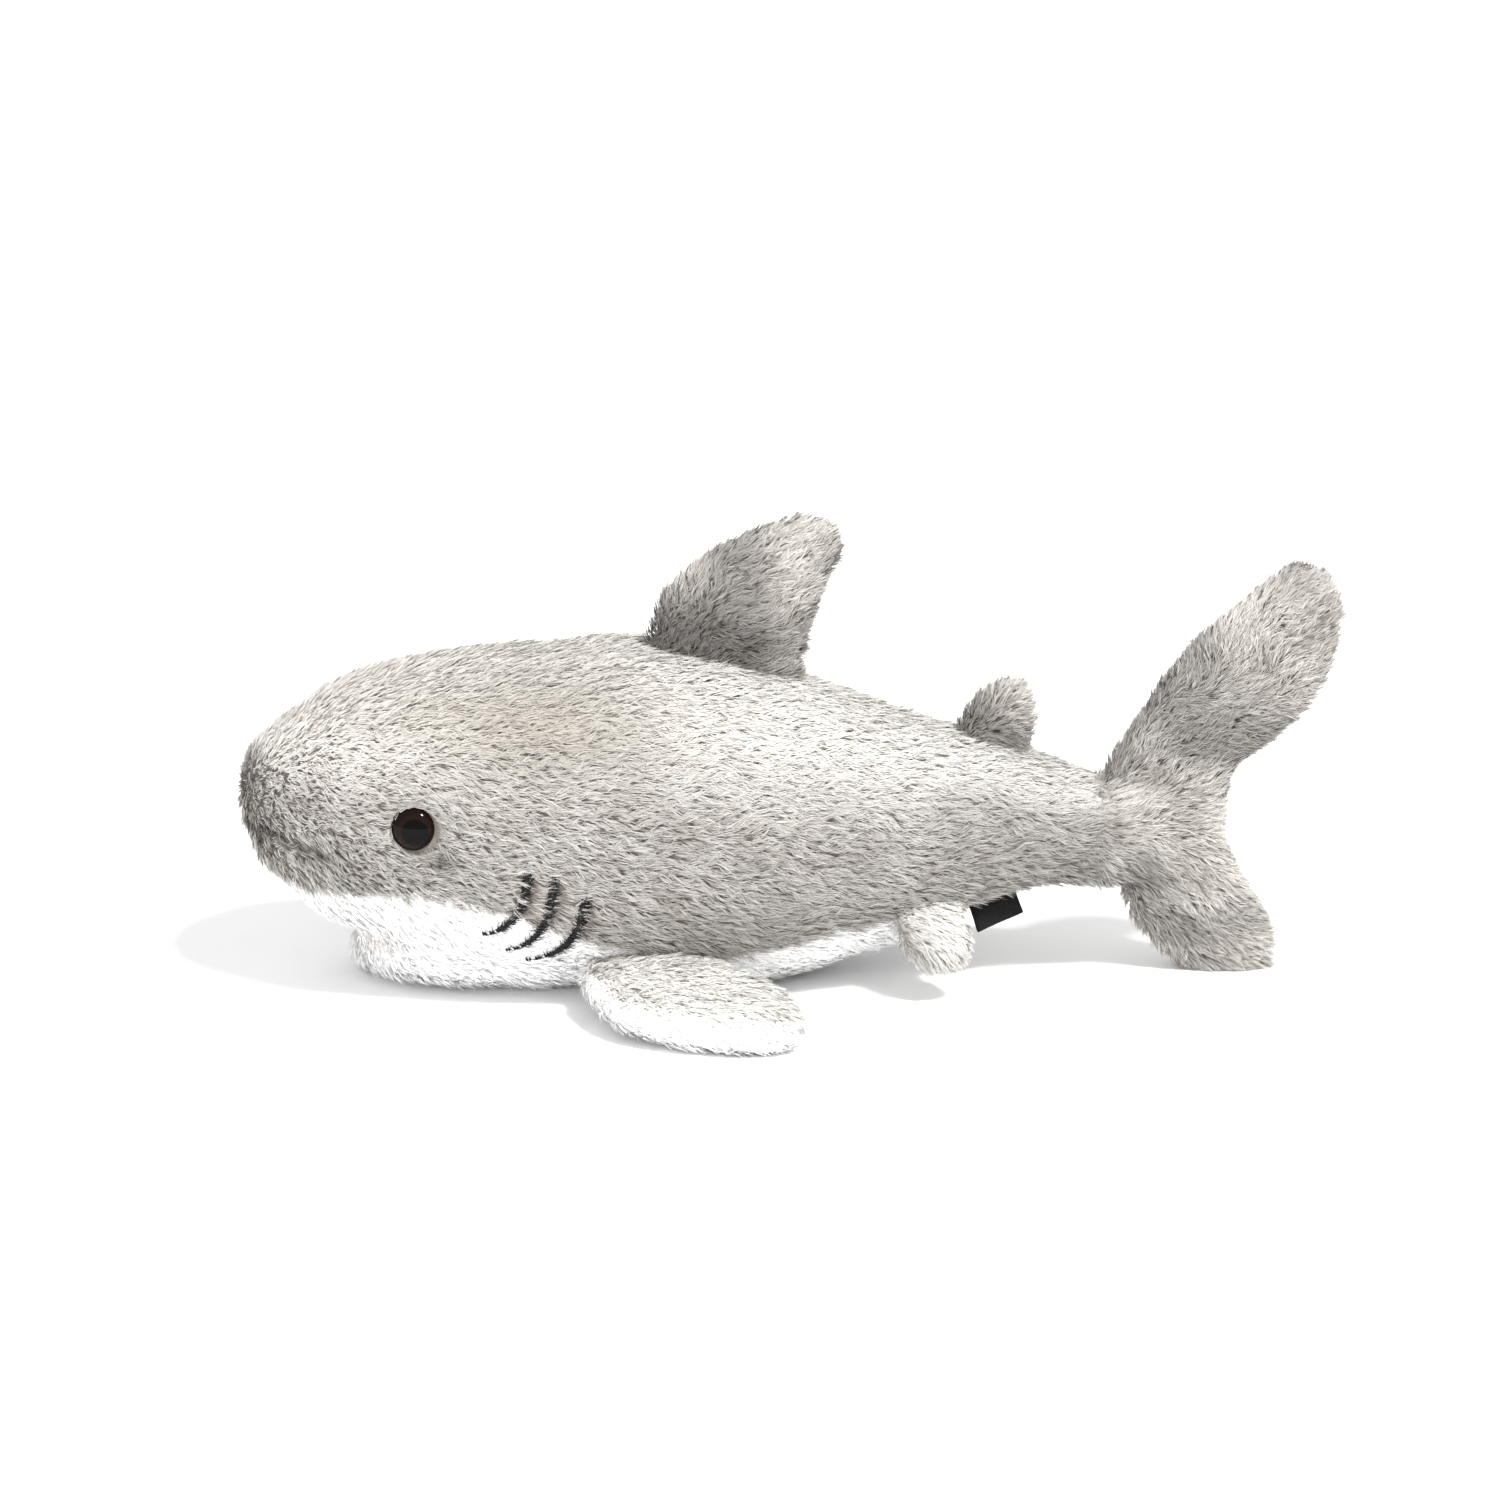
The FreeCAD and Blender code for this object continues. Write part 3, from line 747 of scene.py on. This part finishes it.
def tail_sleeve():
    """Narrowing stretch of cloth from the torso's end into the tail fin."""
    torso = np.concatenate([node_arrays(node)[0] for node in
                            ("back_panel_left", "back_panel_right")])
    tail = np.concatenate([node_arrays(node)[0] for node in
                           ("tail_fin_panel_left", "tail_fin_panel_right")])
    end = torso[torso[:, 0] > torso[:, 0].max() - 9 * MM]
    low, high = end[:, 2].min(), end[:, 2].max()
    root = tail[(tail[:, 0] < tail[:, 0].min() + 22 * MM)
                & (tail[:, 2] > low + 3 * MM) & (tail[:, 2] < high - 1 * MM)]
    return hull(np.concatenate([end, root])[::7].tolist())


FIN_STAIN_AND_SHADE = {GREY_FIN: 0.8, PALE: 0.2, WHITE: 0.2}     # how strongly each fin cloth is stained and given painted shade at its seam


def make_fin(body, nodes, sleeve, source, span, seed, materials, roll=None):
    """All panels of one fin, blended into the torso at its root.

    `source` is what the pile lies away from. `span` holds the points where the cloth would still
    follow the torso and where it would follow the fin; it is not used."""
    parts = [node_arrays(node) for node in list(nodes) + [body + "_stuffing"]]
    form = soft_form(parts + [sleeve], 1.7 * MM, 8)
    for index, (node, patch) in enumerate(panels(form, list(nodes), roll).items()):
        pile = nodes[node]
        piece = pile_piece(node + "_pile", patch, pile, source, seed + index,
                           stain_and_shade=seam_shade_and_stain(joint_of(body), FIN_STAIN_AND_SHADE[pile]))
        finish(piece, materials, pile, node)
        tuple(span[0])
        tuple(span[1])
        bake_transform(piece)


def seam_shade_and_stain(joint, strength):
    """Painted shade: darker pile near a fin's seam, where the fin meets the body; also darker in a
    few brushed-up patches.
    """
    hinge, axis = np.array(joint["pos_m"]), np.array(joint["axis"])

    def stain_and_shade(place, colour):
        offset = place - hinge
        reach = np.linalg.norm(offset - column(offset @ axis) * axis, axis=1)
        patches = np.clip(noise(place, 20 * MM, 14) * 1.6, 0, 1)
        # Painted seam shade, times the darker brushed-up patches.
        shade = (1 - 0.22 * strength * bell(reach, 13 * MM)) * (1 - 0.55 * strength * patches)
        return colour * shade[:, None, None]

    return stain_and_shade


def make_upright_fins(materials):
    """The fins on the shark's middle line: tail, dorsal and rear dorsal."""
    hinge = np.array(joint_of("tail_fin")["pos_m"])
    back = np.array([1.0, 0, 0])
    sides = {"tail_fin_panel_left": GREY_FIN, "tail_fin_panel_right": GREY_FIN}
    make_fin("tail_fin", sides, tail_sleeve(), hinge - back * 22 * MM,
             (hinge - back * 17 * MM, hinge + back * 7 * MM), 20, materials)
    for seed, body in ((30, "dorsal_fin"), (34, "rear_dorsal_fin")):
        sides = {body + "_panel_left": GREY_FIN, body + "_panel_right": GREY_FIN}
        low = np.array(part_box(body + "_stuffing")[0])
        foot = np.array([centre(body + "_stuffing")[0], 0, low[2]])
        up = np.array([0, 0, 1.0])
        source = np.array([low[0] - 12 * MM, 0, low[2] - 14 * MM])
        make_fin(body, sides, root_sleeve(sides, body, 6 * MM), source,
                 (foot - up * 6 * MM, foot + up * 2 * MM), seed, materials)


def make_paired_fins(materials):
    """Pectoral and pelvic fins: grey above, white below, the white rolled up over the edge."""
    for side, sign in (("left", -1), ("right", 1)):
        outwards = np.array([0.1, sign, 0.0])
        for seed, kind, roll in ((40, "pectoral_fin", 7.5 * MM), (50, "pelvic_fin", 0.0)):
            body = kind + "_" + side
            sides = {body + "_top": PALE, body + "_underside": WHITE}
            joint = joint_of(body)
            hinge, axis = np.array(joint["pos_m"]), np.array(joint["axis"])
            out = centre(body + "_stuffing") - hinge
            out = out - axis * (out @ axis)
            out = out / np.linalg.norm(out)
            source = hinge + np.array([-18, -sign * 14, 6]) * MM
            make_fin(body, sides, root_sleeve(sides, body, 5 * MM), source,
                     (hinge - out * MM, hinge + out * 7 * MM), seed, materials, (outwards, roll))


# ---------------------------------------------------------------- gill stitches
THREAD_COUNT = 30        # satin threads in one stroke
THREAD_SIDES = 6
THREAD_RINGS = 5
LOOSE_ENDS = 16          # loose thread ends at the first thread, fewer further down
STITCH_LIFT = 1.3 * MM   # threads stand this far above the cloth, between the strands


def islands(points, triangles):
    """Separate surfaces within one mesh."""
    while len(triangles):
        label = np.arange(len(points))
        while True:
            lowest = label[triangles].min(axis=1)
            changed = label.copy()
            for corner in range(3):
                np.minimum.at(changed, triangles[:, corner], lowest)
            changed = changed[changed]
            if np.array_equal(changed, label):
                break
            label = changed
        chosen = label[triangles[:, 0]] == label[triangles[0, 0]]
        yield cut_out(points, triangles, chosen)
        triangles = triangles[~chosen]


def thread(start, end, outwards, radius, arch):
    """One short thread, arched over the cloth, thin at both ends."""
    along = (end - start) / np.linalg.norm(end - start)
    side = np.cross(along, outwards)
    points = []
    for ring in range(THREAD_RINGS):
        part = ring / (THREAD_RINGS - 1)
        lift = math.sin(math.pi * part)
        middle = start + (end - start) * part + outwards * arch * lift
        thick = radius * (0.45 + 0.55 * lift)
        for step in range(THREAD_SIDES):
            angle = 2 * math.pi * step / THREAD_SIDES
            points.append(middle + (side * math.cos(angle) + outwards * math.sin(angle)) * thick)
    triangles = []
    for ring in range(THREAD_RINGS - 1):
        for step in range(THREAD_SIDES):
            here = ring * THREAD_SIDES + step
            ahead = ring * THREAD_SIDES + (step + 1) % THREAD_SIDES
            triangles.append((here, ahead, here + THREAD_SIDES))
            triangles.append((ahead, ahead + THREAD_SIDES, here + THREAD_SIDES))
    last = (THREAD_RINGS - 1) * THREAD_SIDES
    for step in range(1, THREAD_SIDES - 1):
        triangles.append((0, step + 1, step))
        triangles.append((last, last + step, last + step + 1))
    return np.array(points), np.array(triangles)


def stroke_threads(stroke, sign, rng):
    """Slanting threads along one curved stroke, wide at its top, single stitches at its foot."""
    points, _ = stroke
    low, high = points.min(axis=0), points.max(axis=0)
    tree = BVHTree.FromPolygons(*(array.tolist() for array in stroke))
    top_x = high[0] - 1.7 * MM
    reach, drop = top_x - low[0], high[2] - low[2]
    pieces = []
    for index in range(THREAD_COUNT):
        part = index / (THREAD_COUNT - 1)
        angle = part * math.pi / 2
        along = np.array([-reach * math.sin(angle), 0, -drop * math.cos(angle)])
        along = along / np.linalg.norm(along)
        across = np.array([along[2], 0, -along[0]]) + along * 0.55
        half = (1.65 - 1.05 * part) * MM * rng.uniform(0.75, 1.25)
        spot = Vector((top_x - reach * (1 - math.cos(angle)), sign * 0.2,
                       high[2] - drop * math.sin(angle)))
        hit, normal, _, _ = tree.ray_cast(spot, Vector((0, -sign, 0)))
        if hit is None:
            continue
        outwards = np.array(normal) * (1 if normal.y * sign > 0 else -1)
        middle = np.array(hit) + outwards * STITCH_LIFT
        if part > 0.72 and index % 3 == 2:
            continue
        slant = across - outwards * (across @ outwards)
        slant = slant / np.linalg.norm(slant)
        pieces.append(thread(middle - slant * half, middle + slant * half, outwards,
                             (0.48 - 0.16 * part) * MM * rng.uniform(0.8, 1.2), 0.4 * MM))
        for _ in range(int(LOOSE_ENDS * (1 - part))):
            loose = rng.normal(0, 1, 3) * 0.5 + np.array([0.6, 0, 0.35])
            loose = loose - outwards * (loose @ outwards)
            loose = loose / np.linalg.norm(loose) * rng.uniform(1.0, 3.0) * MM
            root = middle + slant * half * rng.uniform(-1, 1)
            pieces.append(thread(root, root + loose, outwards, 0.12 * MM, 0.5 * MM))
    return pieces


def make_gills(materials):
    """Satin-stitched strokes with their loose thread ends."""
    for seed, (side, sign) in enumerate((("left", -1), ("right", 1))):
        node = "gill_stitches_" + side
        rng = np.random.default_rng(70 + seed)
        pieces = []
        for stroke in islands(*node_arrays(node)):
            pieces += stroke_threads(stroke, sign, rng)
        threads = linked("gill_threads_" + side, mesh_from("gill_threads", *joined(pieces)))
        threads.data.polygons.foreach_set("use_smooth", [True] * len(threads.data.polygons))
        threads.data.materials.append(materials["thread"])
        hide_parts(node)
        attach(threads, "torso")


# ---------------------------------------------------------------- label
LABEL_CLOTH = 0.35 * MM
LABEL_FOLD_STEPS = 7
LABEL_COLUMNS = 14


def make_label(materials):
    """Blank woven label, folded in two, with a soft loop at its foot and a slight wave."""
    joint = joint_of("label")
    start, axis = np.array(joint["pos_m"]), np.array(joint["axis"])
    points, _ = node_arrays("label")
    along = axis if (centre("label") - start) @ axis > 0 else -axis
    offset = centre("label") - start
    down = offset - along * (offset @ along)
    down = down / np.linalg.norm(down)
    through = np.cross(along, down)
    width = np.ptp(points @ along)
    drop = np.ptp(points @ down) - 0.5 * MM
    profile = [(LABEL_CLOTH, 0.0), (LABEL_CLOTH, drop * 0.5)]
    for step in range(LABEL_FOLD_STEPS):
        angle = math.pi * step / (LABEL_FOLD_STEPS - 1)
        profile.append((math.cos(angle) * 0.6 * MM, drop * 0.9 + math.sin(angle) * 0.7 * MM))
    profile += [(-LABEL_CLOTH, drop * 0.5), (-LABEL_CLOTH, 0.0)]
    rows = []
    for index in range(LABEL_COLUMNS):
        part = index / (LABEL_COLUMNS - 1)
        for aside, depth in profile:
            wave = 0.5 * MM * math.sin(part * 5.0) * depth / drop
            rows.append(start + along * width * part + down * depth + through * (aside + wave))
    faces = []
    count = len(profile)
    for index in range(LABEL_COLUMNS - 1):
        for step in range(count - 1):
            here = index * count + step
            faces.append((here, here + 1, here + count))
            faces.append((here + 1, here + count + 1, here + count))
    label = linked("woven_label", mesh_from("woven_label", np.array(rows), np.array(faces)))
    thickness = label.modifiers.new("cloth", "SOLIDIFY")
    thickness.thickness = LABEL_CLOTH * 0.8
    thickness.offset = 0
    label.data.polygons.foreach_set("use_smooth", [True] * len(label.data.polygons))
    label.data.materials.append(materials["label"])
    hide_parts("label")
    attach(label, "label")


# ---------------------------------------------------------------- small pieces
def dress_nodes(materials):
    """Better materials on the CAD pieces that stay."""
    plain = {"mouth_lining": "mouth", "closing_stitches": "seam",
             "eye_washer_left": "washer", "eye_washer_right": "washer"}
    for name, node in frame["nodes"].items():
        if name in plain:
            chosen = materials[plain[name]]
        elif name.endswith("stuffing"):
            chosen = materials["fibre"]
        elif name in ("eye_left", "eye_right"):
            seat, _ = EYE_SEATS[name.split("_")[1]]
            chosen = eye_material(tuple(seat))
        else:
            continue
        for slot in node.material_slots:
            slot.material = chosen


# ---------------------------------------------------------------- studio
KEY_FROM = (0.48, -0.44, 1.0)
KEY_STRENGTH = 4.2
KEY_SOFTNESS = 9
SKY_STRENGTH = 0.78
# Each fill light: its place in metres and its power in watts.
FILLS = {"fill": ((-0.5, -1.3, 0.22), 14), "far_fill": ((0.2, 1.3, 0.45), 9)}
FLOOR_REACH = 60.0               # far enough that its edge is never seen
FLOOR_TONE = (0.95, 0.95, 0.95)
FILL_SIZE = 1.1
CAMERA_DISTANCE = 1.5
CAMERA_ELEVATION = math.radians(15)
FRAME_WIDTH = LENGTH * 1.386     # what the square picture spans at the shark


def make_camera(target):
    data = bpy.data.cameras.new("camera")
    data.lens = data.sensor_width * CAMERA_DISTANCE / FRAME_WIDTH
    camera = linked("camera", data)
    back = Vector((0, -math.cos(CAMERA_ELEVATION), math.sin(CAMERA_ELEVATION)))
    camera.location = target + back * CAMERA_DISTANCE
    camera.rotation_euler = (target - camera.location).to_track_quat("-Z", "Y").to_euler()
    bpy.context.scene.camera = camera


def make_lights(target):
    """A soft key from above, and a weak low light on each side that no gloss reflects."""
    sun = bpy.data.lights.new("key", "SUN")
    sun.energy = KEY_STRENGTH
    sun.angle = math.radians(KEY_SOFTNESS)
    lamp = linked("key", sun)
    lamp.rotation_euler = (-Vector(KEY_FROM)).to_track_quat("-Z", "Y").to_euler()
    for name, (place, power) in FILLS.items():
        fill = bpy.data.lights.new(name, "AREA")
        fill.size = FILL_SIZE
        fill.energy = power
        low_lamp = linked(name, fill)
        low_lamp.location = place
        low_lamp.visible_glossy = False
        low_lamp.rotation_euler = (target - Vector(place)).to_track_quat("-Z", "Y").to_euler()


def make_sky():
    """White where the camera sees it, dimmer as a light."""
    world = bpy.data.worlds.new("studio")
    bpy.context.scene.world = world
    world.use_nodes = True
    nodes, links = world.node_tree.nodes, world.node_tree.links
    nodes["Background"].inputs["Color"].default_value = (1, 1, 1, 1)
    light_path = nodes.new("ShaderNodeLightPath")
    level = nodes.new("ShaderNodeMapRange")
    level.inputs["To Min"].default_value = SKY_STRENGTH
    level.inputs["To Max"].default_value = 1
    links.new(light_path.outputs["Is Camera Ray"], level.inputs["Value"])
    links.new(level.outputs["Result"], nodes["Background"].inputs["Strength"])


def make_floor():
    floor_points = np.array([[-1, -1, 0], [1, -1, 0], [1, 1, 0], [-1, 1, 0]]) * FLOOR_REACH
    floor = linked("floor", mesh_from("floor", floor_points, np.array([[0, 1, 2], [0, 2, 3]])))
    material, nodes, _ = new_material("floor")
    nodes["Principled BSDF"].inputs["Base Color"].default_value = (*FLOOR_TONE, 1)
    nodes["Principled BSDF"].inputs["Roughness"].default_value = 0.9
    floor.data.materials.append(material)


def make_studio():
    middle = Vector(((LOW[0] + HIGH[0]) / 2, 0, 0))
    target = middle + Vector((-0.034 * LENGTH, 0, 0.2085 * LENGTH))
    make_camera(target)
    make_lights(target)
    make_sky()
    bpy.context.scene.view_settings.view_transform = "Standard"
    make_floor()


# ---------------------------------------------------------------- everything
# Each use: the material's name, dark tone, light tone, scale, roughness and bump.
FLECKED = {
    "thread": ("black_thread", (0.004, 0.004, 0.005), (0.02, 0.018, 0.018), 1500, 0.6, 0.6),
    "fibre": ("fibre", (0.80, 0.80, 0.78), (0.95, 0.95, 0.94), 220, 0.9, 0.6),
    "mouth": ("mouth", (0.36, 0.17, 0.14), (0.52, 0.27, 0.23), 700, 0.85, 0.7),
    "seam": ("seam", (0.62, 0.60, 0.55), (0.78, 0.76, 0.72), 1500, 0.7, 0.5),
    "label": ("label", (0.0015, 0.0015, 0.002), (0.008, 0.008, 0.009), 2200, 0.8, 0.8),
    "washer": ("washer", (0.74, 0.73, 0.70), (0.80, 0.79, 0.77), 150, 0.5, 0.2),
}


def main():
    make_studio()
    materials = {"grey": pile_material("grey_pile", 0.2, 0.14),
                 "white": pile_material("white_pile", 0.2, 0.03)}
    for use, (name, *look) in FLECKED.items():
        materials[use] = flecked_material(name, *look)
    make_torso(materials)
    make_upright_fins(materials)
    make_paired_fins(materials)
    make_gills(materials)
    make_label(materials)
    dress_nodes(materials)


main()
